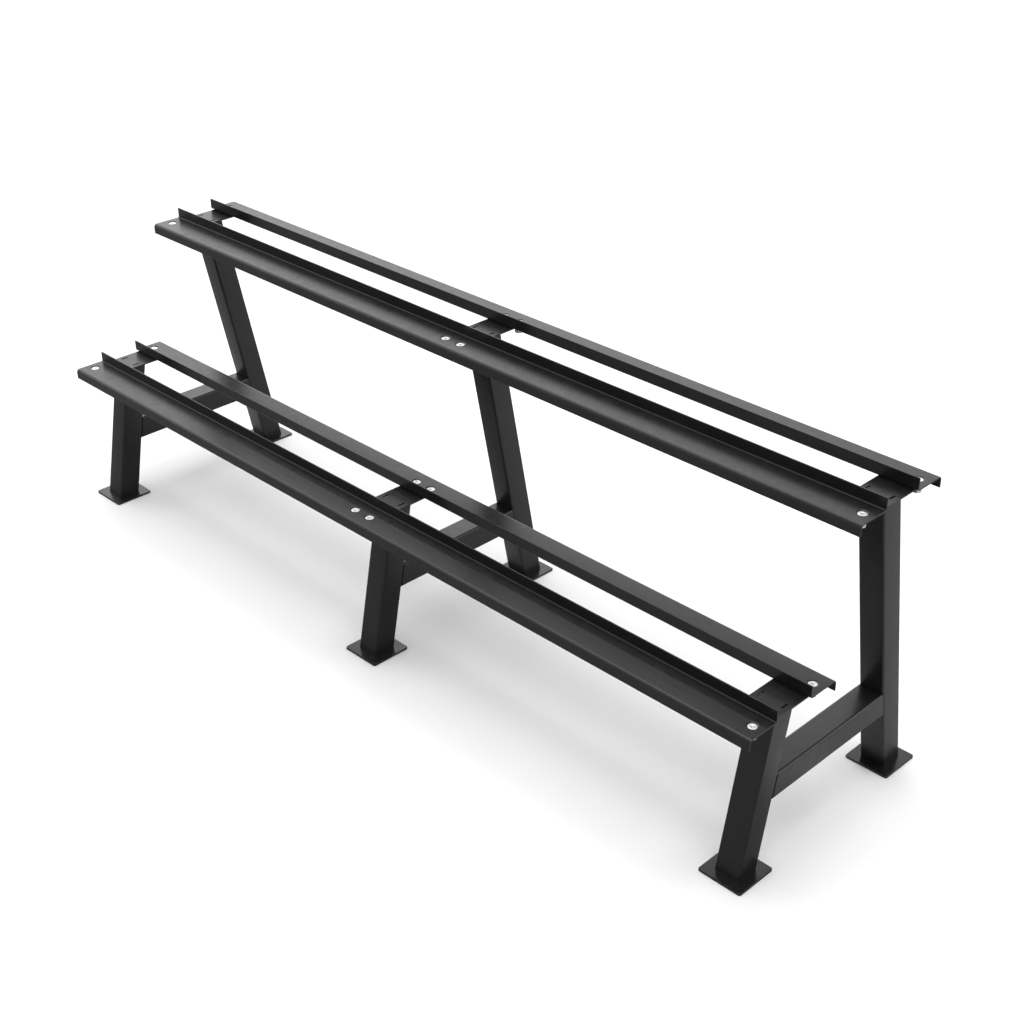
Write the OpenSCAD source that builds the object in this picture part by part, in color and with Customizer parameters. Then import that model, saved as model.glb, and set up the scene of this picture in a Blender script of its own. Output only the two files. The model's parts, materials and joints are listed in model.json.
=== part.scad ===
// Two-tier dumbbell rack, standing free on six foot plates.
// Three short front posts lean back and carry the lower shelf.
// Three tall rear posts lean forward and carry the upper shelf.
// Each shelf is a pair of bent sheet rails with an open gap between them,
// bolted down to flat saddle plates on the tops of the posts.
// +X runs along the rails, +Y from the lower shelf to the upper one, +Z up.
// The origin is at the bottom centre of the whole rack. All sizes are in millimetres.

/* [Piece to show] */
// Name of one piece, or all for the whole rack

/* [Posts and braces] */
// Distance between the centres of neighbouring columns of posts
post_pitch = 1000; // [500:10:1200]
// Outside width of the square tubes
tube_side = 55; // [40:1:60]
// Wall thickness of the square tubes
tube_wall = 3; // [2:0.5:4]
// Outside corner radius of the square tubes
tube_corner = 5; // [4.5:0.5:8]
// Height of the braces' centre line above the floor
brace_height = 176; // [100:2:240]

/* [Feet] */
// Side of the square foot plates
foot_side = 98; // [90:2:140]
// Thickness of the foot plates
foot_thickness = 5; // [4:1:10]
// Corner radius of the foot plates
foot_corner = 5; // [2:1:20]
// Distance the front feet stand in front of the lower shelf's centre line
front_foot_reach = 66; // [40:2:90]
// Distance the rear feet stand behind the upper shelf's centre line
rear_foot_reach = 131; // [80:1:160]

/* [Shelves] */
// Height of the lower shelf's plates above the floor
lower_shelf_height = 354; // [320:1:420]
// Height of the upper shelf's plates above the floor
upper_shelf_height = 663; // [600:1:800]
// Distance from the lower shelf's centre line back to the upper shelf's
shelf_setback = 267.5; // [240:0.5:340]
// Clear gap between the front and rear rail of a shelf
rail_gap = 96; // [86:2:120]
// Length of each rail past the centre of the end post
rail_overhang = 46.5; // [40:0.5:120]
// Thickness of the bent sheet
rail_sheet = 3; // [2:0.5:3]
// Width of a rail from the gap side of its flange to the outside of its lip
rail_width = 77; // [72:0.5:90]
// Height of the flange above the plate
flange_height = 24; // [15:1:40]
// Drop of the lip below the top of the plate
lip_drop = 23.5; // [15:0.5:30]
// Inside radius of the bend under the flange
flange_bend = 2.5; // [1:0.5:4]
// Inside radius of the bend over the lip
lip_bend = 5; // [1:0.5:6]

/* [Saddles] */
// Width of a saddle plate along the rails
saddle_width = 76; // [68:1:90]
// Length of a saddle plate across the shelf
saddle_length = 224; // [208:2:230]
// Thickness of a saddle plate
saddle_thickness = 3; // [2:0.5:3]
// Corner radius of a saddle plate
saddle_corner = 3; // [1:1:6]
// Distance between the two short slots in a saddle plate
slot_spacing = 51; // [44:1:56]
// Length of the short slots
slot_length = 18; // [8:1:24]
// Width of the short slots
slot_width = 4; // [3:0.5:5]

/* [Bolts] */
// Distance from a post's centre to each bolt, along the rail
bolt_offset = 22.75; // [18:0.25:23]
// Diameter of the bolts
bolt_diameter = 10; // [8:1:10]
// Length of the bolts, heads included
bolt_length = 25; // [25:5:35]
// Diameter of the countersunk heads
head_diameter = 18.5; // [16:0.5:20]
// Depth of the heads below the top of the plate
head_sink = 1.5; // [0:0.25:2]
// Size across the flats of the hexagon sockets
socket_size = 6; // [5:0.5:6]
// Height of the nuts
nut_height = 18; // [8:1:18]

/* [Hidden] */
// Sides drawn on each full circle
$fn = 96;

// Columns of posts along the rack
left_x = -post_pitch;
middle_x = 0;
right_x = post_pitch;

// Side of a shelf's centre line on which a rail lies
front_side = -1;
rear_side = 1;

// Distances from the lower shelf's centre line to the rack's front and back
rail_reach = rail_gap / 2 + rail_width;
front_extent = max(rail_reach, front_foot_reach + foot_side / 2);
rear_extent = shelf_setback + max(rail_reach, rear_foot_reach + foot_side / 2);

// Centre lines of the shelves and feet, with the rack centred front to back
lower_shelf_y = (front_extent - rear_extent) / 2;
upper_shelf_y = lower_shelf_y + shelf_setback;
front_foot_y = lower_shelf_y - front_foot_reach;
rear_foot_y = upper_shelf_y + rear_foot_reach;

// Undersides of the saddles, where the posts end
lower_post_top = lower_shelf_height - rail_sheet - saddle_thickness;
upper_post_top = upper_shelf_height - rail_sheet - saddle_thickness;

// Lean of the posts towards the back, so negative for the rear ones
front_lean = atan2(front_foot_reach, lower_post_top - foot_thickness);
rear_lean = -atan2(rear_foot_reach, upper_post_top - foot_thickness);

// Rails
rail_length = 2 * (post_pitch + rail_overhang);
flange_outer_bend = flange_bend + rail_sheet;
lip_outer_bend = lip_bend + rail_sheet;
bolt_xs = [left_x - bolt_offset, -bolt_offset, bolt_offset, right_x + bolt_offset];
bolt_reach = rail_gap / 2 + rail_width / 2;

// Fastener details
hole_clearance = 1;
bolt_hole_diameter = bolt_diameter + hole_clearance;
head_cone_height = (head_diameter - bolt_diameter) / 2;
socket_depth = 3;
tip_chamfer = 1;
washer_diameter = 20;
washer_bore = bolt_diameter + 0.5;
washer_thickness = 2;
nut_flats = 16;
nut_bore = bolt_diameter + 0.2;
washer_drop = rail_sheet + saddle_thickness + washer_thickness;
nut_drop = washer_drop + nut_height;

// A cutting block longer than any post or brace
block = 2000;
// Extra depth of a cutting tool beyond the surface that it cuts
cut_margin = 1;

black_steel = "#2b2c2e";
black_sheet = "#3a3b3d";
bright_zinc = "#c9cbcf";

// Square with true round corners, centred
module rounded_plate_outline(width, depth, corner) {
  square([width - 2 * corner, depth], center = true);
  square([width, depth - 2 * corner], center = true);
  for (sx = [-1, 1]) for (sy = [-1, 1])
    translate([sx * (width / 2 - corner), sy * (depth / 2 - corner)])
      circle(r = corner);
}

// Slot along Y with round ends, centred
module slot_outline() {
  end_y = (slot_length - slot_width) / 2;
  square([slot_width, 2 * end_y], center = true);
  for (sy = [-1, 1])
    translate([0, sy * end_y])
      circle(d = slot_width);
}

// Hollow square tube along Z, centred
module square_tube(length) {
  inner_side = tube_side - 2 * tube_wall;
  linear_extrude(height = length, center = true)
    difference() {
      rounded_plate_outline(tube_side, tube_side, tube_corner);
      rounded_plate_outline(inner_side, inner_side, tube_corner - tube_wall);
    }
}

// Square foot plate on the floor
module foot_plate(x, y) {
  translate([x, y, 0])
    linear_extrude(height = foot_thickness)
      rounded_plate_outline(foot_side, foot_side, foot_corner);
}

// Places a shape in a leaning post's own axes, with its origin on the foot plate
module on_post_axis(foot_y, lean) {
  translate([0, foot_y, foot_thickness])
    rotate([-lean, 0, 0])
      children();
}

// Leaning post, cut level where it meets its foot plate and its saddle
module post(x, foot_y, lean, top_z) {
  translate([x, 0, 0])
    intersection() {
      on_post_axis(foot_y, lean)
        square_tube(block);
      translate([-tube_side, -block / 2, foot_thickness])
        cube([2 * tube_side, block, top_z - foot_thickness]);
    }
}

// Level brace from the back of a front post to the front of a rear post
module brace(x) {
  translate([x, 0, 0])
    difference() {
      translate([0, (front_foot_y + rear_foot_y) / 2, brace_height])
        rotate([90, 0, 0])
          square_tube(rear_foot_y - front_foot_y);
      on_post_axis(front_foot_y, front_lean)
        translate([-block / 2, tube_side / 2 - block, -block / 2])
          cube(block);
      on_post_axis(rear_foot_y, rear_lean)
        translate([-block / 2, -tube_side / 2, -block / 2])
          cube(block);
    }
}

// Bolt hole with a countersink of 90 degrees, with its origin on top of the rail's plate
module bolt_hole() {
  hole_depth = rail_sheet + saddle_thickness + cut_margin;
  sink_depth = head_sink + head_cone_height;
  mouth_diameter = bolt_diameter + 2 * (sink_depth + cut_margin);
  translate([0, 0, -hole_depth])
    cylinder(d = bolt_hole_diameter, h = hole_depth + cut_margin);
  translate([0, 0, -sink_depth])
    cylinder(d1 = bolt_diameter, d2 = mouth_diameter, h = sink_depth + cut_margin);
}

// Saddle plate on a post top, with holes for the bolts at the given distances from its middle
module saddle(x, shelf_y, top_z, hole_xs) {
  translate([x, shelf_y, top_z])
    difference() {
      linear_extrude(height = saddle_thickness)
        rounded_plate_outline(saddle_width, saddle_length, saddle_corner);
      for (hole_x = hole_xs) for (side = [front_side, rear_side])
        translate([hole_x, side * bolt_reach, saddle_thickness + rail_sheet])
          bolt_hole();
      for (side = [-1, 1])
        translate([side * slot_spacing / 2, 0, -cut_margin])
          linear_extrude(height = saddle_thickness + 2 * cut_margin)
            slot_outline();
    }
}

// Quarter ring of bent sheet, in the quadrant of positive X and Y
module sheet_bend(inner_radius) {
  outer_radius = inner_radius + rail_sheet;
  intersection() {
    difference() {
      circle(r = outer_radius);
      circle(r = inner_radius);
    }
    square(outer_radius);
  }
}

// Section of a rail: X outwards from the gap, Y up from the top of the plate
module rail_section() {
  translate([0, flange_bend])
    square([rail_sheet, flange_height - flange_bend]);
  translate([flange_outer_bend, flange_bend])
    rotate(180)
      sheet_bend(flange_bend);
  translate([flange_outer_bend, -rail_sheet])
    square([rail_width - flange_outer_bend - lip_outer_bend, rail_sheet]);
  translate([rail_width - lip_outer_bend, -lip_outer_bend])
    sheet_bend(lip_bend);
  translate([rail_width - rail_sheet, -lip_drop])
    square([rail_sheet, lip_drop - lip_outer_bend]);
}

// Places a shape at each bolt of a rail, on top of its plate
module at_rail_bolts(shelf_y, shelf_z, side) {
  for (x = bolt_xs)
    translate([x, shelf_y + side * bolt_reach, shelf_z])
      children();
}

// Bent sheet rail on one side of a shelf, drilled for its bolts
module rail(shelf_y, shelf_z, side) {
  difference() {
    translate([0, shelf_y, shelf_z])
      mirror([0, 1 - side, 0])
        translate([-rail_length / 2, rail_gap / 2, 0])
          rotate([90, 0, 90])
            linear_extrude(height = rail_length)
              rail_section();
    at_rail_bolts(shelf_y, shelf_z, side)
      bolt_hole();
  }
}

// Countersunk bolt pointing down, with its origin on top of the rail's plate
module countersunk_bolt() {
  difference() {
    union() {
      translate([0, 0, -head_sink - head_cone_height])
        cylinder(d1 = bolt_diameter, d2 = head_diameter, h = head_cone_height);
      translate([0, 0, -head_sink - bolt_length + tip_chamfer])
        cylinder(d = bolt_diameter, h = bolt_length - tip_chamfer - head_cone_height / 2);
      translate([0, 0, -head_sink - bolt_length])
        cylinder(d1 = bolt_diameter - 2 * tip_chamfer, d2 = bolt_diameter, h = tip_chamfer);
    }
    translate([0, 0, -head_sink - socket_depth])
      cylinder(d = socket_size / cos(30), h = socket_depth + cut_margin, $fn = 6);
  }
}

// Flat washer against the underside of a saddle
module washer() {
  translate([0, 0, -washer_drop])
    difference() {
      cylinder(d = washer_diameter, h = washer_thickness);
      translate([0, 0, -cut_margin])
        cylinder(d = washer_bore, h = washer_thickness + 2 * cut_margin);
    }
}

// Tall hexagon nut against the underside of its washer
module nut() {
  translate([0, 0, -nut_drop])
    difference() {
      cylinder(d = nut_flats / cos(30), h = nut_height, $fn = 6);
      translate([0, 0, -cut_margin])
        cylinder(d = nut_bore, h = nut_height + 2 * cut_margin);
    }
}

module left_front_foot_plate() color(black_steel) foot_plate(left_x, front_foot_y);
module middle_front_foot_plate() color(black_steel) foot_plate(middle_x, front_foot_y);
module right_front_foot_plate() color(black_steel) foot_plate(right_x, front_foot_y);
module left_rear_foot_plate() color(black_steel) foot_plate(left_x, rear_foot_y);
module middle_rear_foot_plate() color(black_steel) foot_plate(middle_x, rear_foot_y);
module right_rear_foot_plate() color(black_steel) foot_plate(right_x, rear_foot_y);

module left_front_post()
  color(black_steel) post(left_x, front_foot_y, front_lean, lower_post_top);
module middle_front_post()
  color(black_steel) post(middle_x, front_foot_y, front_lean, lower_post_top);
module right_front_post()
  color(black_steel) post(right_x, front_foot_y, front_lean, lower_post_top);
module left_rear_post()
  color(black_steel) post(left_x, rear_foot_y, rear_lean, upper_post_top);
module middle_rear_post()
  color(black_steel) post(middle_x, rear_foot_y, rear_lean, upper_post_top);
module right_rear_post()
  color(black_steel) post(right_x, rear_foot_y, rear_lean, upper_post_top);

module left_brace() color(black_steel) brace(left_x);
module middle_brace() color(black_steel) brace(middle_x);
module right_brace() color(black_steel) brace(right_x);

module lower_left_saddle()
  color(black_sheet) saddle(left_x, lower_shelf_y, lower_post_top, [-bolt_offset]);
module lower_middle_saddle()
  color(black_sheet) saddle(middle_x, lower_shelf_y, lower_post_top, [-bolt_offset, bolt_offset]);
module lower_right_saddle()
  color(black_sheet) saddle(right_x, lower_shelf_y, lower_post_top, [bolt_offset]);
module upper_left_saddle()
  color(black_sheet) saddle(left_x, upper_shelf_y, upper_post_top, [-bolt_offset]);
module upper_middle_saddle()
  color(black_sheet) saddle(middle_x, upper_shelf_y, upper_post_top, [-bolt_offset, bolt_offset]);
module upper_right_saddle()
  color(black_sheet) saddle(right_x, upper_shelf_y, upper_post_top, [bolt_offset]);

module lower_front_rail()
  color(black_sheet) rail(lower_shelf_y, lower_shelf_height, front_side);
module lower_rear_rail()
  color(black_sheet) rail(lower_shelf_y, lower_shelf_height, rear_side);
module upper_front_rail()
  color(black_sheet) rail(upper_shelf_y, upper_shelf_height, front_side);
module upper_rear_rail()
  color(black_sheet) rail(upper_shelf_y, upper_shelf_height, rear_side);

module lower_front_rail_bolts()
  color(bright_zinc) at_rail_bolts(lower_shelf_y, lower_shelf_height, front_side) countersunk_bolt();
module lower_rear_rail_bolts()
  color(bright_zinc) at_rail_bolts(lower_shelf_y, lower_shelf_height, rear_side) countersunk_bolt();
module upper_front_rail_bolts()
  color(bright_zinc) at_rail_bolts(upper_shelf_y, upper_shelf_height, front_side) countersunk_bolt();
module upper_rear_rail_bolts()
  color(bright_zinc) at_rail_bolts(upper_shelf_y, upper_shelf_height, rear_side) countersunk_bolt();

module lower_front_rail_washers()
  color(bright_zinc) at_rail_bolts(lower_shelf_y, lower_shelf_height, front_side) washer();
module lower_rear_rail_washers()
  color(bright_zinc) at_rail_bolts(lower_shelf_y, lower_shelf_height, rear_side) washer();
module upper_front_rail_washers()
  color(bright_zinc) at_rail_bolts(upper_shelf_y, upper_shelf_height, front_side) washer();
module upper_rear_rail_washers()
  color(bright_zinc) at_rail_bolts(upper_shelf_y, upper_shelf_height, rear_side) washer();

module lower_front_rail_nuts()
  color(bright_zinc) at_rail_bolts(lower_shelf_y, lower_shelf_height, front_side) nut();
module lower_rear_rail_nuts()
  color(bright_zinc) at_rail_bolts(lower_shelf_y, lower_shelf_height, rear_side) nut();
module upper_front_rail_nuts()
  color(bright_zinc) at_rail_bolts(upper_shelf_y, upper_shelf_height, front_side) nut();
module upper_rear_rail_nuts()
  color(bright_zinc) at_rail_bolts(upper_shelf_y, upper_shelf_height, rear_side) nut();

left_front_foot_plate();
middle_front_foot_plate();
right_front_foot_plate();
left_rear_foot_plate();
middle_rear_foot_plate();
right_rear_foot_plate();
left_front_post();
middle_front_post();
right_front_post();
left_rear_post();
middle_rear_post();
right_rear_post();
left_brace();
middle_brace();
right_brace();
lower_left_saddle();
lower_middle_saddle();
lower_right_saddle();
upper_left_saddle();
upper_middle_saddle();
upper_right_saddle();
lower_front_rail();
lower_rear_rail();
upper_front_rail();
upper_rear_rail();
lower_front_rail_bolts();
lower_rear_rail_bolts();
upper_front_rail_bolts();
upper_rear_rail_bolts();
lower_front_rail_washers();
lower_rear_rail_washers();
upper_front_rail_washers();
upper_rear_rail_washers();
lower_front_rail_nuts();
lower_rear_rail_nuts();
upper_front_rail_nuts();
upper_rear_rail_nuts();
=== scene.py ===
# Dumbbell rack: two level shelves of bent sheet rails on six leaning square posts.
# Metres, in the CAD model's own frame: +X along the rails, +Y to the rear, +Z up.
import json
import math

import bmesh
import bpy
from mathutils import Matrix, Vector


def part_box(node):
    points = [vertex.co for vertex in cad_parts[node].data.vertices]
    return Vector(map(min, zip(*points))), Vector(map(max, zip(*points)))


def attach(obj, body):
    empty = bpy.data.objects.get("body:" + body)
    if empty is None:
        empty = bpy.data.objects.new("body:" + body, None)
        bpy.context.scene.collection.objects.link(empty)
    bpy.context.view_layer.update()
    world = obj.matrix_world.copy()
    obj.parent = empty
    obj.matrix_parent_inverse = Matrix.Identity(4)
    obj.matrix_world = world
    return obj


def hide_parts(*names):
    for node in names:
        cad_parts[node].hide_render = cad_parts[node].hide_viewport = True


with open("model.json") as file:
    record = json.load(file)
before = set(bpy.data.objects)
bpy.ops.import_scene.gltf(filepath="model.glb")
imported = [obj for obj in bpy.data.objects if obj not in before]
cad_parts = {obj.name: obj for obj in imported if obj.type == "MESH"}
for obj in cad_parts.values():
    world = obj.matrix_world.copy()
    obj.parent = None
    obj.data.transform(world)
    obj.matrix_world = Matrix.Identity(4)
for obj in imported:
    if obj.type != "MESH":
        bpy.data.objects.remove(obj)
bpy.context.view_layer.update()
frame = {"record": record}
SCENE = bpy.context.scene

# ---------------------------------------------------------------- camera
# Three-quarter view from the front right, 45 degrees round and 30 degrees up.
CAMERA_AT = Vector((2.275125, -2.079015, 2.026521))
CAMERA_FORWARD = Vector((-0.613170, 0.612835, -0.498452))
CAMERA_RIGHT = Vector((0.706674, 0.707539, 0.000588))
CAMERA_LENS = 56.2726


def make_camera():
    """The scene's camera, at the fitted place and turned the fitted way."""
    data = bpy.data.cameras.new("camera")
    data.sensor_width = 36.0
    data.lens = CAMERA_LENS
    data.clip_end = 200.0
    cam = bpy.data.objects.new("camera", data)
    back = -CAMERA_FORWARD.normalized()
    right = (CAMERA_RIGHT - back * CAMERA_RIGHT.dot(back)).normalized()
    up = back.cross(right)
    m = Matrix((right, up, back)).transposed().to_4x4()
    m.translation = CAMERA_AT
    cam.matrix_world = m
    SCENE.collection.objects.link(cam)
    SCENE.camera = cam


make_camera()

# ---------------------------------------------------------------- node helpers


def new_material(name):
    """Material with its node tree and the one shader in it."""
    mat = bpy.data.materials.new(name)
    mat.use_nodes = True
    tree = mat.node_tree
    tree.nodes.clear()
    out = tree.nodes.new("ShaderNodeOutputMaterial")
    bsdf = tree.nodes.new("ShaderNodeBsdfPrincipled")
    tree.links.new(bsdf.outputs["BSDF"], out.inputs["Surface"])
    return mat, tree, bsdf


def node(tree, kind, **values):
    """New node; each value sets a setting of that name, or else the input of that name."""
    n = tree.nodes.new("ShaderNode" + kind)
    for key, value in values.items():
        if hasattr(n, key):
            setattr(n, key, value)
        else:
            n.inputs[key.replace("_", " ")].default_value = value
    return n


def noise(tree, coord, scale, detail=2.0, rough=0.5, seed=0.0, stretch=None):
    """Fac of a noise texture of that many cells a metre, shifted by seed."""
    mapping = node(tree, "Mapping")
    mapping.inputs["Location"].default_value = (seed * 3.1, seed * 1.7, seed * 2.3)
    if stretch:
        mapping.inputs["Scale"].default_value = stretch
    tree.links.new(coord, mapping.inputs["Vector"])
    n = node(tree, "TexNoise", Scale=scale, Detail=detail, Roughness=rough)
    tree.links.new(mapping.outputs["Vector"], n.inputs["Vector"])
    return n.outputs["Fac"]


def ramp(tree, fac, stops):
    """Value ramp through (position, value) stops."""
    r = node(tree, "ValToRGB")
    elements = r.color_ramp.elements
    while len(elements) > 1:
        elements.remove(elements[-1])
    for i, (pos, value) in enumerate(stops):
        e = elements[0] if i == 0 else elements.new(pos)
        e.position = pos
        rgb = value if hasattr(value, "__len__") else (value, value, value)
        e.color = (*rgb, 1.0)
    tree.links.new(fac, r.inputs["Fac"])
    return r.outputs["Color"]


def maths(tree, op, a, b, clamp=False):
    """Result of a maths node on a and b, each a number or a socket."""
    m = node(tree, "Math", operation=op, use_clamp=clamp)
    for i, v in enumerate((a, b)):
        if isinstance(v, (int, float)):
            m.inputs[i].default_value = v
        else:
            tree.links.new(v, m.inputs[i])
    return m.outputs["Value"]


def mix_colour(tree, fac, a, b):
    """Colour that goes from a to b with fac, each a value or a socket."""
    m = node(tree, "Mix", data_type="RGBA")
    for socket, v in ((m.inputs["Factor"], fac), (m.inputs[6], a), (m.inputs[7], b)):
        if hasattr(v, "__len__"):
            socket.default_value = (*v, 1.0)
        elif isinstance(v, (int, float)):
            socket.default_value = v
        else:
            tree.links.new(v, socket)
    return m.outputs[2]


def edge_mask(tree, radius, low, high):
    """0 on flats, up to 1 on edges sharper than radius, from the rounded normal."""
    rounded = node(tree, "Bevel", samples=4)
    rounded.inputs["Radius"].default_value = radius
    geo = node(tree, "NewGeometry")
    dot = node(tree, "VectorMath", operation="DOT_PRODUCT")
    tree.links.new(rounded.outputs["Normal"], dot.inputs[0])
    tree.links.new(geo.outputs["Normal"], dot.inputs[1])
    away = maths(tree, "SUBTRACT", 1.0, dot.outputs["Value"], clamp=True)
    return ramp(tree, away, [(low, 0.0), (high, 1.0)])


# ---------------------------------------------------------------- materials
# What the floor gives back to the steel's gloss, by its distance behind the rack's middle in metres
MIRRORED = [(-0.05, 0.26), (0.12, 0.60), (0.26, 0.40)]
MIRRORED_SHIFT = 0.5   # keeps those distances inside the 0 to 1 of a ramp
COAT_DARK = (0.0044, 0.0044, 0.0046)
COAT_LIGHT = (0.0080, 0.0080, 0.0083)
COAT_SPECK = (0.021, 0.021, 0.022)
COAT_WORN = (0.040, 0.040, 0.042)
# Colour of the painted shade in the zinc's recesses: the socket, the bore and under the head
ZINC_RECESS_SHADE = (0.10, 0.10, 0.10)


def hollow_mask(tree, reach, low, high, most):
    """Falls from most to 0 as the surface opens up within reach of a point, low to high."""
    hollow = node(tree, "AmbientOcclusion", samples=4)
    hollow.inputs["Distance"].default_value = reach
    return ramp(tree, hollow.outputs["AO"], [(low, most), (high, 0.0)])


def powder_coat(name, seed, gloss=0.0):
    """Satin black powder coat: faint swells, mottling, orange peel and grain, worn on the edges."""
    mat, tree, bsdf = new_material(name)
    coord = node(tree, "TexCoord").outputs["Object"]
    clouds = noise(tree, coord, 5.0, 3.0, 0.55, seed)
    mottle = noise(tree, coord, 55.0, 2.0, 0.5, seed + 4.0)
    peel = noise(tree, coord, 520.0, 2.0, 0.5, seed + 8.0)
    grain = noise(tree, coord, 1900.0, 1.0, 0.4, seed + 12.0)
    base = ramp(tree, clouds, [(0.32, COAT_DARK), (0.68, COAT_LIGHT)])
    specks = ramp(tree, grain, [(0.50, 0.0), (0.78, 1.0)])
    base = mix_colour(tree, maths(tree, "MULTIPLY", specks, 0.16), base, COAT_SPECK)
    edges = edge_mask(tree, 0.0012, 0.03, 0.30)
    worn = maths(tree, "MULTIPLY", edges, ramp(tree, mottle, [(0.35, 0.10), (0.70, 0.55)]))
    base = mix_colour(tree, worn, base, COAT_WORN)
    tree.links.new(base, bsdf.inputs["Base Color"])
    rough = maths(tree, "ADD", ramp(tree, mottle, [(0.30, 0.27 - gloss), (0.72, 0.36 - gloss)]),
                  maths(tree, "MULTIPLY", worn, 0.10))
    dusty = hollow_mask(tree, 0.0025, 0.30, 0.80, 0.45)
    tree.links.new(maths(tree, "ADD", rough, dusty), bsdf.inputs["Roughness"])
    bsdf.inputs["IOR"].default_value = 1.5
    height = maths(tree, "ADD", maths(tree, "MULTIPLY", peel, 0.75),
                   maths(tree, "MULTIPLY", grain, 0.25))
    waves = noise(tree, coord, 30.0, 2.0, 0.5, seed + 16.0, stretch=(0.12, 1.0, 1.0))
    swell = node(tree, "Bump", Strength=0.6, Distance=0.0003)
    tree.links.new(waves, swell.inputs["Height"])
    bump = node(tree, "Bump", Strength=0.35, Distance=0.00012)
    tree.links.new(swell.outputs["Normal"], bump.inputs["Normal"])
    tree.links.new(height, bump.inputs["Height"])
    tree.links.new(bump.outputs["Normal"], bsdf.inputs["Normal"])
    return mat


def zinc_plate(name, seed, base=(0.90, 0.905, 0.91), low=0.34, high=0.48):
    """Bright zinc on steel: cloudy roughness, fine scratches, and painted shade that darkens its
    colour in the recesses.
    """
    mat, tree, bsdf = new_material(name)
    coord = node(tree, "TexCoord").outputs["Object"]
    clouds = noise(tree, coord, 240.0, 3.0, 0.6, seed)
    lines = noise(tree, coord, 900.0, 2.0, 0.5, seed + 3.0, stretch=(1.0, 6.0, 1.0))
    tone = ramp(tree, clouds, [(0.30, tuple(0.90 * c for c in base)), (0.70, base)])
    # Painted shade: the zinc's colour goes darker where the surface is closed in, as shade would fall
    # there
    recess_shade = hollow_mask(tree, 0.003, 0.35, 0.85, 1.0)
    tone = mix_colour(tree, maths(tree, "MULTIPLY", recess_shade, 0.75), tone, ZINC_RECESS_SHADE)
    tree.links.new(tone, bsdf.inputs["Base Color"])
    bsdf.inputs["Metallic"].default_value = 1.0
    tree.links.new(ramp(tree, clouds, [(0.30, low), (0.75, high)]), bsdf.inputs["Roughness"])
    bump = node(tree, "Bump", Strength=0.25, Distance=0.00005)
    tree.links.new(lines, bump.inputs["Height"])
    tree.links.new(bump.outputs["Normal"], bsdf.inputs["Normal"])
    return mat


def floor_paint():
    """Pale matt studio floor; gloss rays see it darker, by the distance behind the rack's middle."""
    mat, tree, bsdf = new_material("studio_floor")
    coord = node(tree, "TexCoord").outputs["Object"]
    clouds = noise(tree, coord, 2.0, 2.0, 0.5, 1.0)
    paint = ramp(tree, clouds, [(0.3, 0.840), (0.7, 0.850)])
    parts = node(tree, "SeparateXYZ")
    tree.links.new(coord, parts.inputs["Vector"])
    depth = maths(tree, "ADD", parts.outputs["Y"], MIRRORED_SHIFT)
    mirrored = ramp(tree, depth, [(y + MIRRORED_SHIFT, level) for y, level in MIRRORED])
    is_gloss = node(tree, "LightPath").outputs["Is Glossy Ray"]
    tree.links.new(mix_colour(tree, is_gloss, paint, mirrored), bsdf.inputs["Base Color"])
    bsdf.inputs["Roughness"].default_value = 0.9
    bsdf.inputs["Specular IOR Level"].default_value = 0.0
    return mat


MATERIALS = {
    "foot_plates": powder_coat("foot_plate_powder_coat", 1.0, 0.06),
    "posts": powder_coat("post_powder_coat", 2.0),
    "braces": powder_coat("brace_powder_coat", 3.0),
    "saddles": powder_coat("saddle_powder_coat", 4.0),
    "rails": powder_coat("rail_powder_coat", 5.0),
    "bolts": zinc_plate("bolt_bright_zinc", 6.0),
    "washers": zinc_plate("washer_zinc", 7.0, (0.78, 0.785, 0.79), 0.32, 0.46),
    "nuts": zinc_plate("nut_zinc", 8.0, (0.84, 0.845, 0.85), 0.30, 0.44),
}
SLOT_OF = {row["node"]: row["material_slot"] for row in frame["record"]["subparts"]}

# ---------------------------------------------------------------- sizes shared with the CAD model
COLUMNS = ("left", "middle", "right")
SHELVES = ("lower", "upper")
SIDES = ("front", "rear")
TUBE_SIDE = 0.055
TUBE_WALL = 0.003
TUBE_CORNER = 0.005
BRACE_HEIGHT = 0.176
FOOT_CORNER = 0.005
SADDLE_CORNER = 0.003
SLOT_SPACING = 0.051
SLOT_LENGTH = 0.018
SLOT_WIDTH = 0.004
RAIL_SHEET = 0.003
FLANGE_BEND = 0.0025
LIP_BEND = 0.005
FLANGE_HEIGHT = 0.024
BOLT_OFFSET = 0.02275
BOLT_RADIUS = 0.005
BOLT_LENGTH = 0.025
HOLE_RADIUS = 0.0055
HEAD_RADIUS = 0.00925
HEAD_SINK = 0.0015
SOCKET_FLATS = 0.006
SOCKET_DEPTH = 0.003
THREAD_PITCH = 0.0015
THREAD_DEPTH = 0.0006
WASHER_RADIUS = 0.010
WASHER_BORE = 0.00525
WASHER_THICKNESS = 0.002
NUT_FLATS = 0.016
NUT_HEIGHT = 0.018
NUT_BORE = 0.0051

# Small sizes that only the look needs
FOOT_EDGE = 0.0007         # width of the rounding on sharp edges
BRACE_EDGE = 0.0004
SADDLE_EDGE = 0.0002
RAIL_EDGE = 0.0006
DRILL_RADIUS = 0.0006      # drilled point at the bottom of a bolt's socket
DRILL_DEPTH = 0.0008
CROWN_SHARE = 0.72         # share of a bolt head's radius inside which it is quite flat
THREAD_TOP = -0.010        # where the thread begins, below the plate's top
TIP_CHAMFER = 0.0012
NUT_FACE_SHARE = 0.97      # round end face of a nut, as a share of its width over the flats
NUT_CHAMFER_DEGREES = 30
BORE_CHAMFER = 0.0005

ARC_STEPS = 8              # segments in a quarter turn of a bend or tube corner
ROUND_STEPS = 48           # segments round a bolt, nut or washer; a multiple of 12
THREAD_STEPS = 6           # rings in one turn of a thread
CHAMFER_STEPS = 6
SHARP_DEGREES = 30.0       # edges sharper than this are shaded sharp
SOFTENED_DEGREES = 40.0    # edges sharper than this are rounded

# ---------------------------------------------------------------- mesh helpers


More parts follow.
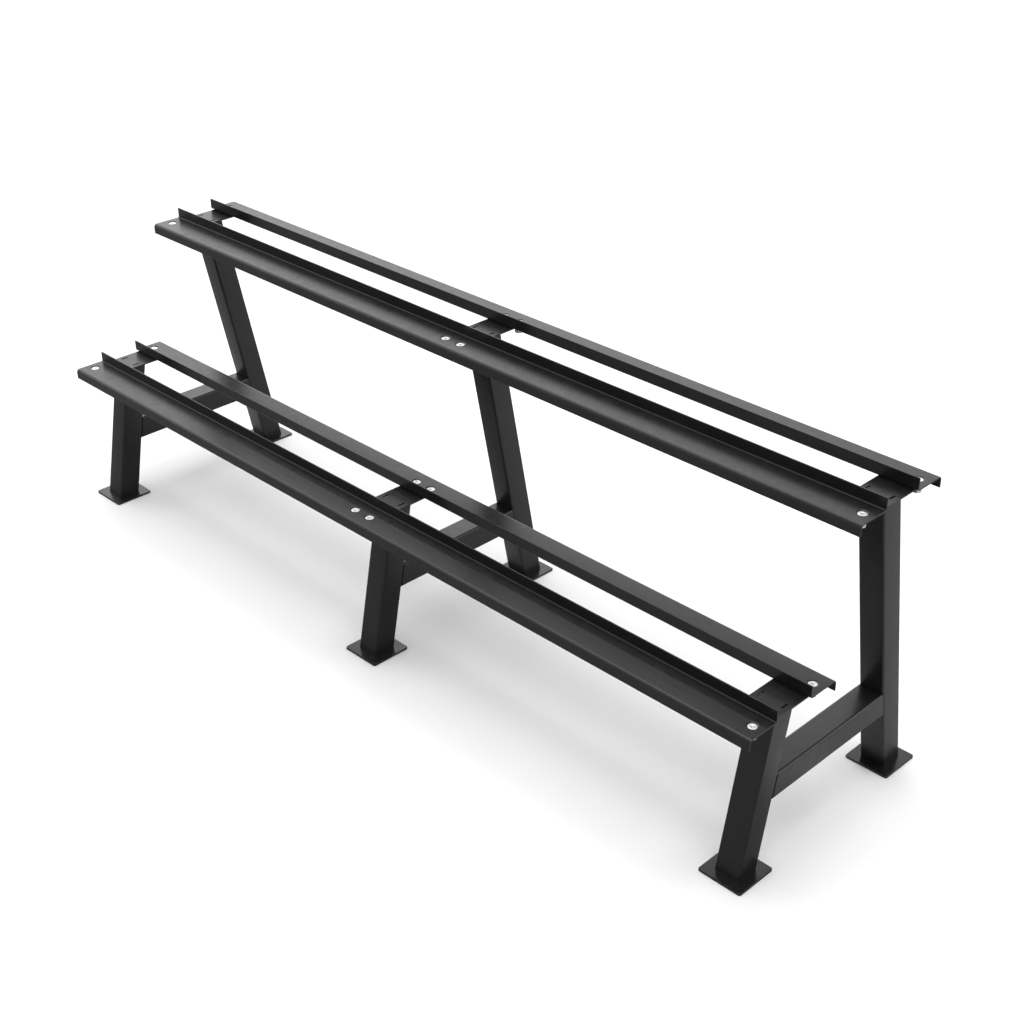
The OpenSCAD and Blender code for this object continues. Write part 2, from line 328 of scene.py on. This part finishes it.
def arc(centre_x, centre_y, radius, start, end, steps=ARC_STEPS):
    """Points on a circle from start to end, in degrees, both ends included."""
    angles = [math.radians(start + (end - start) * i / steps) for i in range(steps + 1)]
    return [(centre_x + radius * math.cos(a), centre_y + radius * math.sin(a)) for a in angles]


def rounded_rectangle(width, depth, corner):
    """Outline with round corners, centred, anticlockwise."""
    x, y = width / 2 - corner, depth / 2 - corner
    return (arc(x, y, corner, 0, 90) + arc(-x, y, corner, 90, 180)
            + arc(-x, -y, corner, 180, 270) + arc(x, -y, corner, 270, 360))


def add_ring(bm, points):
    """New vertices at the points."""
    return [bm.verts.new(p) for p in points]


def bridge(bm, ring_a, ring_b):
    """Quads between two closed rings of as many vertices."""
    count = len(ring_a)
    for i in range(count):
        j = (i + 1) % count
        bm.faces.new((ring_a[i], ring_a[j], ring_b[j], ring_b[i]))


def add_solid(bm, loops, closed=False):
    """Solid through outlines of as many points: closed round on itself, or with a face at each end."""
    rings = [add_ring(bm, points) for points in loops]
    for ring_a, ring_b in zip(rings, rings[1:]):
        bridge(bm, ring_a, ring_b)
    if closed:
        bridge(bm, rings[-1], rings[0])
    else:
        bm.faces.new(rings[0])
        bm.faces.new(rings[-1])


def flat_plate(low, high, corner):
    """Level plate that fills the box from low to high, with round corners."""
    mid = (low + high) / 2
    outline = rounded_rectangle(high.x - low.x, high.y - low.y, corner)
    bm = bmesh.new()
    add_solid(bm, [[(mid.x + x, mid.y + y, z) for x, y in outline] for z in (low.z, high.z)])
    return bm


def finish_piece(name, bm, edge, replaced):
    """Turns the mesh into a piece that stands for CAD node replaced. Its sharp edges are rounded
    by edge, or left as they are where that is 0."""
    bmesh.ops.recalc_face_normals(bm, faces=bm.faces)
    mesh = bpy.data.meshes.new(name)
    bm.to_mesh(mesh)
    bm.free()
    mesh.materials.append(MATERIALS[SLOT_OF[replaced]])
    mesh.polygons.foreach_set("use_smooth", [True] * len(mesh.polygons))
    mesh.set_sharp_from_angle(angle=math.radians(SHARP_DEGREES))
    obj = bpy.data.objects.new(name, mesh)
    SCENE.collection.objects.link(obj)
    if edge:
        soften(obj, edge)
    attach(obj, "root")
    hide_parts(replaced)


def soften(obj, width):
    """Rounds the sharp edges by width and keeps the flats looking flat."""
    bevel = obj.modifiers.new("soft_edges", "BEVEL")
    bevel.width = width
    bevel.segments = 3
    bevel.limit_method = "ANGLE"
    bevel.angle_limit = math.radians(SOFTENED_DEGREES)
    bevel.use_clamp_overlap = True
    flat = obj.modifiers.new("flat_shading", "WEIGHTED_NORMAL")
    flat.keep_sharp = True


def cut(bm, shapes):
    """Cuts upright shapes out of a mesh; each is a list of (outline points, z), from low to high."""
    def as_object(source, name):
        """Loose object with the mesh, which it uses up."""
        mesh = bpy.data.meshes.new(name)
        source.to_mesh(mesh)
        source.free()
        obj = bpy.data.objects.new(name, mesh)
        SCENE.collection.objects.link(obj)
        return obj

    tool = bmesh.new()
    for levels in shapes:
        add_solid(tool, [[(x, y, z) for x, y in outline] for outline, z in levels])
    bmesh.ops.recalc_face_normals(tool, faces=tool.faces)
    bmesh.ops.recalc_face_normals(bm, faces=bm.faces)
    cutter = as_object(tool, "cutter")
    blank = as_object(bm, "blank")
    boolean = blank.modifiers.new("cut", "BOOLEAN")
    boolean.operation = "DIFFERENCE"
    boolean.solver = "EXACT"
    boolean.object = cutter
    evaluated = blank.evaluated_get(bpy.context.evaluated_depsgraph_get())
    done = bmesh.new()
    done.from_mesh(evaluated.to_mesh())
    evaluated.to_mesh_clear()
    for obj in (blank, cutter):
        mesh = obj.data
        bpy.data.objects.remove(obj)
        bpy.data.meshes.remove(mesh)
    return done


def centre_of(name):
    """Middle of a CAD node's box."""
    low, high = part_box(name)
    return (low + high) / 2


def circle(x, y, radius):
    """Outline of a round hole."""
    return arc(x, y, radius, 0, 360, ROUND_STEPS)[:-1]


# ---------------------------------------------------------------- feet, posts and braces


def foot_plate(column, side):
    """Square plate on the floor."""
    cad = f"{column}_{side}_foot_plate"
    finish_piece(f"{column}_{side}_foot", flat_plate(*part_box(cad), FOOT_CORNER), FOOT_EDGE, cad)


def post_axis(column, side):
    """Where a post's axis meets its foot plate, unit vectors along and across it, and its top's z."""
    shelf = "lower" if side == "front" else "upper"
    top = centre_of(f"{shelf}_{column}_saddle")
    top.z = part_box(f"{column}_{side}_post")[1].z
    base = centre_of(f"{column}_{side}_foot_plate")
    base.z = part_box(f"{column}_{side}_foot_plate")[1].z
    along = (top - base).normalized()
    across = Vector((0.0, along.z, -along.y))
    return base, along, across, top.z


def tube_between(outlines, point_at):
    """Tube wall from (outer, inner) outlines; point_at(x, y, end) places a point at end 0 or 1."""
    bm = bmesh.new()
    (outer_a, outer_b), (inner_a, inner_b) = [
        [add_ring(bm, [point_at(x, y, end) for x, y in outline]) for end in (0, 1)]
        for outline in outlines
    ]
    bridge(bm, outer_a, outer_b)
    bridge(bm, inner_a, inner_b)
    bridge(bm, outer_a, inner_a)
    bridge(bm, outer_b, inner_b)
    return bm


def tube_outlines():
    """Outer and inner outline of the square tube."""
    inner = TUBE_SIDE - 2 * TUBE_WALL
    return (rounded_rectangle(TUBE_SIDE, TUBE_SIDE, TUBE_CORNER),
            rounded_rectangle(inner, inner, TUBE_CORNER - TUBE_WALL))


def post(column, side):
    """Leaning square tube, cut level at both ends."""
    base, along, across, top_z = post_axis(column, side)

    def point_at(x, y, end):
        on_section = base + Vector((x, 0, 0)) + across * y
        level = top_z if end else base.z
        return on_section + along * ((level - on_section.z) / along.z)

    finish_piece(f"{column}_{side}_leg", tube_between(tube_outlines(), point_at), 0.0,
                 f"{column}_{side}_post")


def brace(column):
    """Level square tube, cut to lie against the leaning faces of its two posts."""
    front_base, _, front_across, _ = post_axis(column, "front")
    rear_base, _, rear_across, _ = post_axis(column, "rear")

    def point_at(x, z, end):
        height = BRACE_HEIGHT + z
        base, across, reach = ((rear_base, rear_across, -TUBE_SIDE / 2) if end
                               else (front_base, front_across, TUBE_SIDE / 2))
        y = base.y + (reach - (height - base.z) * across.z) / across.y
        return Vector((base.x + x, y, height))

    finish_piece(f"{column}_cross_brace", tube_between(tube_outlines(), point_at), BRACE_EDGE,
                 f"{column}_brace")


# ---------------------------------------------------------------- saddles and rails


def bolt_hole(x, y, plate_top):
    """Countersunk hole through a rail and its saddle, as levels for cut()."""
    cone_foot = plate_top - HEAD_SINK - HEAD_RADIUS + BOLT_RADIUS
    neck = cone_foot + HOLE_RADIUS - BOLT_RADIUS
    below = plate_top - 3 * RAIL_SHEET
    above = plate_top + RAIL_SHEET
    return [(circle(x, y, HOLE_RADIUS), below),
            (circle(x, y, HOLE_RADIUS), neck),
            (circle(x, y, BOLT_RADIUS + above - cone_foot), above)]


def bolt_xs(column):
    """Places along the rack of the bolts over one column of posts."""
    x = centre_of(f"lower_{column}_saddle").x
    offsets = {"left": (-1,), "middle": (-1, 1), "right": (1,)}[column]
    return [x + sign * BOLT_OFFSET for sign in offsets]


def saddle(shelf, column):
    """Flat plate with its bolt holes and two short slots."""
    cad = f"{shelf}_{column}_saddle"
    low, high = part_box(cad)
    mid = (low + high) / 2
    slot = rounded_rectangle(SLOT_WIDTH, SLOT_LENGTH, SLOT_WIDTH / 2 - 0.00001)
    holes = []
    for sign in (-1, 1):
        outline = [(mid.x + sign * SLOT_SPACING / 2 + x, mid.y + y) for x, y in slot]
        holes.append([(outline, low.z - RAIL_SHEET), (outline, high.z + RAIL_SHEET)])
    for side in SIDES:
        y = centre_of(f"{shelf}_{side}_rail").y
        holes += [bolt_hole(x, y, high.z + RAIL_SHEET) for x in bolt_xs(column)]
    plate = cut(flat_plate(low, high, SADDLE_CORNER), holes)
    finish_piece(f"{shelf}_{column}_saddle_plate", plate, SADDLE_EDGE, cad)


def rail_section(width, drop):
    """Bent sheet: outwards from the gap, and up from the top of the plate."""
    root = FLANGE_BEND + RAIL_SHEET
    edge = LIP_BEND + RAIL_SHEET
    under = ([(0.0, FLANGE_HEIGHT)] + arc(root, FLANGE_BEND, root, 180, 270)
             + arc(width - edge, -edge, LIP_BEND, 90, 0) + [(width - RAIL_SHEET, -drop)])
    over = ([(width, -drop)] + arc(width - edge, -edge, edge, 0, 90)
            + arc(root, FLANGE_BEND, FLANGE_BEND, 270, 180) + [(RAIL_SHEET, FLANGE_HEIGHT)])
    return under + over


def rail(shelf, side):
    """Bent sheet rail with its bolt holes, its flange towards the gap."""
    cad = f"{shelf}_{side}_rail"
    low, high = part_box(cad)
    plate_top = high.z - FLANGE_HEIGHT
    gap_face, outwards = (high.y, -1) if side == "front" else (low.y, 1)
    section = rail_section(high.y - low.y, plate_top - low.z)
    bm = bmesh.new()
    add_solid(bm, [[(x, gap_face + outwards * u, plate_top + v) for u, v in section]
                   for x in (low.x, high.x)])
    y = centre_of(cad).y
    holes = [bolt_hole(x, y, plate_top) for column in COLUMNS for x in bolt_xs(column)]
    finish_piece(f"{shelf}_{side}_shelf_rail", cut(bm, holes), RAIL_EDGE, cad)


# ---------------------------------------------------------------- fasteners


def hexagon_reach(angle, flats):
    """Distance from the middle of a hexagon to its edge, with corners at multiples of 60 degrees."""
    within = (angle % (math.pi / 3)) - math.pi / 6
    return flats / 2 / math.cos(within)


def revolve(bm, place, profile, closed=False):
    """Solid about an upright axis at place; each profile entry is (reach, z), and reach may be
    a function of the angle. A closed profile makes a ring."""
    angles = [2 * math.pi * i / ROUND_STEPS for i in range(ROUND_STEPS)]
    loops = []
    for reach, z in profile:
        reaches = [reach(a) if callable(reach) else reach for a in angles]
        loops.append([(place.x + r * math.cos(a), place.y + r * math.sin(a), place.z + z)
                      for r, a in zip(reaches, angles)])
    add_solid(bm, loops, closed)


def bolt_profile():
    """From the bottom of the socket over the flat head and down the threaded shank."""
    face = -HEAD_SINK
    socket_floor = face - SOCKET_DEPTH
    mouth = SOCKET_FLATS / math.sqrt(3) * 1.08
    cone_foot = face - HEAD_RADIUS + BOLT_RADIUS
    tip = face - BOLT_LENGTH

    def socket(scale):
        return lambda a: hexagon_reach(a, SOCKET_FLATS) * scale

    socket_part = [(DRILL_RADIUS, socket_floor - DRILL_DEPTH),
                   (socket(0.97), socket_floor),
                   (socket(1.0), socket_floor + 0.0002),
                   (socket(1.0), face - 0.0004),
                   (mouth, face - 0.0001),
                   (mouth * 1.06, face - 0.00006)]
    head_part = [(HEAD_RADIUS * CROWN_SHARE, face),
                 (HEAD_RADIUS - 0.0006, face - 0.00008),
                 (HEAD_RADIUS - 0.0003, face - 0.0002),
                 (HEAD_RADIUS - 0.0004, face - 0.0004),
                 (BOLT_RADIUS + 0.0003, cone_foot + 0.0003),
                 (BOLT_RADIUS, cone_foot - 0.0003),
                 (BOLT_RADIUS, THREAD_TOP)]
    thread_end = tip + TIP_CHAMFER
    count = int((THREAD_TOP - thread_end) / THREAD_PITCH * THREAD_STEPS)
    heights = [THREAD_TOP - i * THREAD_PITCH / THREAD_STEPS for i in range(1, count + 1)]
    thread_part = [(thread_reach(z), z) for z in heights]
    tip_part = [(BOLT_RADIUS - THREAD_DEPTH - 0.0001, tip + 0.0005),
                (BOLT_RADIUS - TIP_CHAMFER, tip)]
    return socket_part + head_part + thread_part + tip_part


def thread_reach(z):
    """Radius round one ring of a helical thread at height z."""
    def reach(angle):
        turn = (z / THREAD_PITCH + angle / (2 * math.pi)) % 1.0
        return BOLT_RADIUS - THREAD_DEPTH * (1 - abs(2 * turn - 1))
    return reach


def washer_profile():
    """Closed section, rounded on its outer corners by the punch."""
    low, high = -WASHER_THICKNESS, 0.0
    return [(WASHER_BORE, low),
            (WASHER_BORE, high),
            (WASHER_RADIUS - 0.0004, high),
            (WASHER_RADIUS - 0.0001, high - 0.0001),
            (WASHER_RADIUS, high - 0.0004),
            (WASHER_RADIUS, low + 0.0002),
            (WASHER_RADIUS - 0.0002, low)]


def nut_profile():
    """Closed section: hexagon sides cut back to a cone at the top and bottom."""
    corner = NUT_FLATS / math.sqrt(3)
    end_face = NUT_FLATS / 2 * NUT_FACE_SHARE
    slope = math.tan(math.radians(NUT_CHAMFER_DEGREES))

    def side(depth):
        cone = end_face + depth / slope
        return lambda a: min(hexagon_reach(a, NUT_FLATS), cone)

    full = (corner - end_face) * slope
    depths = [full * i / CHAMFER_STEPS for i in range(CHAMFER_STEPS + 1)]
    bottom = [(side(d), -NUT_HEIGHT + d) for d in depths]
    top = [(side(d), -d) for d in reversed(depths)]
    bore = [(NUT_BORE + BORE_CHAMFER, 0.0),
            (NUT_BORE, -BORE_CHAMFER),
            (NUT_BORE, -NUT_HEIGHT + BORE_CHAMFER),
            (NUT_BORE + BORE_CHAMFER, -NUT_HEIGHT)]
    return bottom + top + bore


def fasteners(shelf, side):
    """The four bolts of a rail, with the washer and nut of each."""
    cad = f"{shelf}_{side}_rail"
    low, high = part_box(cad)
    plate_top = high.z - FLANGE_HEIGHT
    under_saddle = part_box(f"{shelf}_middle_saddle")[0].z
    y = (low.y + high.y) / 2
    kinds = (("bolts", "countersunk_bolts", bolt_profile(), plate_top, False),
             ("washers", "plain_washers", washer_profile(), under_saddle, True),
             ("nuts", "tall_nuts", nut_profile(), under_saddle - WASHER_THICKNESS, True))
    for node_end, name_end, profile, z, closed in kinds:
        bm = bmesh.new()
        for column in COLUMNS:
            for x in bolt_xs(column):
                revolve(bm, Vector((x, y, z)), profile, closed)
        finish_piece(f"{shelf}_{side}_{name_end}", bm, 0.0, f"{cad}_{node_end}")


for column in COLUMNS:
    for side in SIDES:
        foot_plate(column, side)
        post(column, side)
    brace(column)
for shelf in SHELVES:
    for column in COLUMNS:
        saddle(shelf, column)
    for side in SIDES:
        rail(shelf, side)
        fasteners(shelf, side)

# ---------------------------------------------------------------- floor and light
FLOOR_REACH = 40.0
SKY_LEVEL = 0.54
# Soft windows in the sky: which way they lie, half their width in degrees, and their extra level
WINDOWS = [((-0.90, 0.30, 0.28), 62.0, 1.51), ((0.70, 0.72, 0.12), 30.0, 2.20)]
# Overhead light: the way that it travels, its strength, and its width in degrees
OVERHEAD = ((0.03, 0.0, -1.0), 2.25, 46.0)


def make_floor():
    """Plain square floor that the rack stands on."""
    mesh = bpy.data.meshes.new("studio_floor")
    bm = bmesh.new()
    bmesh.ops.create_grid(bm, x_segments=8, y_segments=8, size=FLOOR_REACH)
    bm.to_mesh(mesh)
    bm.free()
    mesh.materials.append(floor_paint())
    obj = bpy.data.objects.new("studio_floor", mesh)
    SCENE.collection.objects.link(obj)


def make_world():
    """White studio with two soft windows; the backdrop itself is seen white."""
    world = bpy.data.worlds.new("studio_sky")
    world.use_nodes = True
    SCENE.world = world
    tree = world.node_tree
    back = tree.nodes["Background"]
    direction = node(tree, "TexCoord").outputs["Generated"]
    level = SKY_LEVEL
    for window_way, spread, extra in WINDOWS:
        towards = node(tree, "VectorMath", operation="DOT_PRODUCT")
        towards.inputs[1].default_value = Vector(window_way).normalized()
        tree.links.new(direction, towards.inputs[0])
        window = node(tree, "MapRange", interpolation_type="SMOOTHSTEP",
                      From_Min=math.cos(math.radians(spread)), From_Max=1.0,
                      To_Min=0.0, To_Max=extra)
        tree.links.new(towards.outputs["Value"], window.inputs["Value"])
        level = maths(tree, "ADD", window.outputs["Result"], level)
    seen = node(tree, "LightPath").outputs["Is Camera Ray"]
    tree.links.new(maths(tree, "MAXIMUM", level, seen), back.inputs["Strength"])
    back.inputs["Color"].default_value = (1.0, 1.0, 1.0, 1.0)


def make_sun(name, towards, strength, angle):
    """A very soft light from far away; towards is the way that it travels."""
    data = bpy.data.lights.new(name, "SUN")
    data.energy = strength
    data.angle = math.radians(angle)
    obj = bpy.data.objects.new(name, data)
    obj.rotation_mode = "QUATERNION"
    obj.rotation_quaternion = Vector((0, 0, -1)).rotation_difference(Vector(towards).normalized())
    SCENE.collection.objects.link(obj)


make_floor()
make_world()
make_sun("overhead_softbox", *OVERHEAD)
SCENE.view_settings.view_transform = "Standard"
SCENE.view_settings.look = "None"
